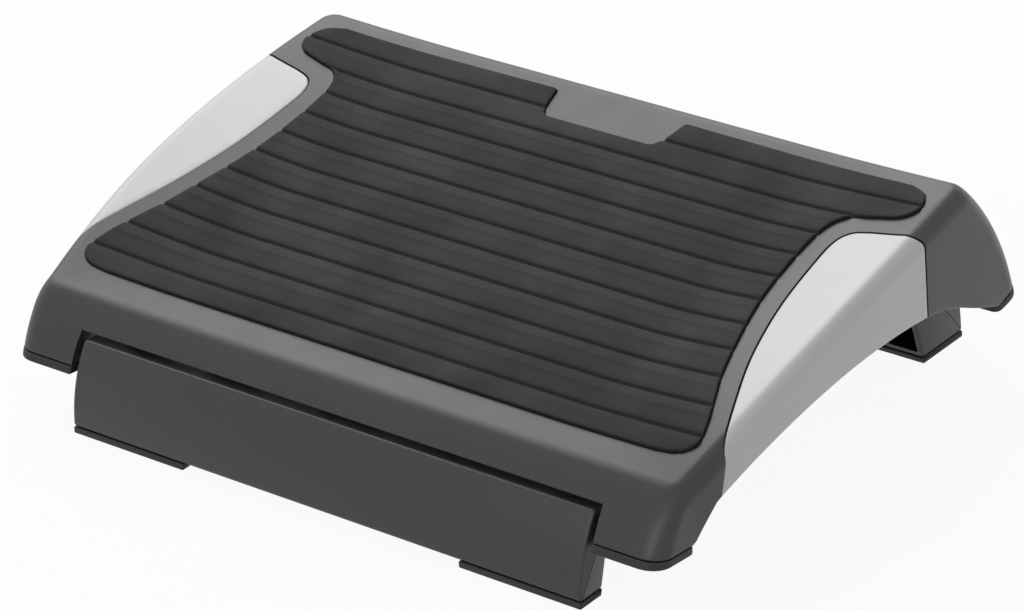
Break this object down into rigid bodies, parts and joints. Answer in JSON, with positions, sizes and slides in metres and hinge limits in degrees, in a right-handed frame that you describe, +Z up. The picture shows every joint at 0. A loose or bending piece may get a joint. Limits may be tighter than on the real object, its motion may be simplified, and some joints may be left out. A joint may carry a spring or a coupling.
{
  "type": "tilting under desk footrest",
  "caption": "Sloping footrest platform with a grooved rubber mat, on hinged front and rear legs that fold in under it to change its height and tilt.",
  "frame": {"origin": "on the floor, at the middle of the footprint with both legs out", "axes": "+X to the right end, +Y to the raised back, +Z up"},
  "size_m": [0.4634, 0.35, 0.1321],
  "materials": {
    "shell_plastic": "satin black moulded plastic",
    "insert_plastic": "silver-grey painted plastic, satin",
    "mat_rubber": "dark grey matt rubber with cross grooves",
    "pad_rubber": "black matt rubber",
    "pin_steel": "zinc-plated steel",
    "washer_nylon": "natural nylon"
  },
  "bodies": {
    "platform": {"platform_shell": "shell_plastic", "rubber_mat": "mat_rubber", "side_insert_left": "insert_plastic", "insert_screw_left_front": "pin_steel", "insert_screw_left_middle": "pin_steel", "insert_screw_left_rear": "pin_steel", "side_insert_right": "insert_plastic", "insert_screw_right_front": "pin_steel", "insert_screw_right_middle": "pin_steel", "insert_screw_right_rear": "pin_steel", "corner_pad_front_left": "pad_rubber", "hinge_pin_front_left": "pin_steel", "friction_washer_front_left": "washer_nylon", "pin_clip_front_left": "pin_steel", "corner_pad_front_right": "pad_rubber", "hinge_pin_front_right": "pin_steel", "friction_washer_front_right": "washer_nylon", "pin_clip_front_right": "pin_steel", "corner_pad_rear_left": "pad_rubber", "hinge_pin_rear_left": "pin_steel", "friction_washer_rear_left": "washer_nylon", "pin_clip_rear_left": "pin_steel", "corner_pad_rear_right": "pad_rubber", "hinge_pin_rear_right": "pin_steel", "friction_washer_rear_right": "washer_nylon", "pin_clip_rear_right": "pin_steel"},
    "front_leg": {"front_leg": "shell_plastic", "front_leg_pad_left": "pad_rubber", "front_leg_pad_right": "pad_rubber"},
    "rear_leg": {"rear_leg": "shell_plastic", "rear_leg_pad_left": "pad_rubber", "rear_leg_pad_right": "pad_rubber"}
  },
  "joints": [
    {"name": "front_leg_hinge", "type": "hinge", "parent": "platform", "child": "front_leg", "pos_m": [0, -0.136, 0.056], "axis": [1, 0, 0], "range_deg": [0, 110]},
    {"name": "rear_leg_hinge", "type": "hinge", "parent": "platform", "child": "rear_leg", "pos_m": [0, 0.128, 0.084], "axis": [-1, 0, 0], "range_deg": [0, 100]}
  ]
}
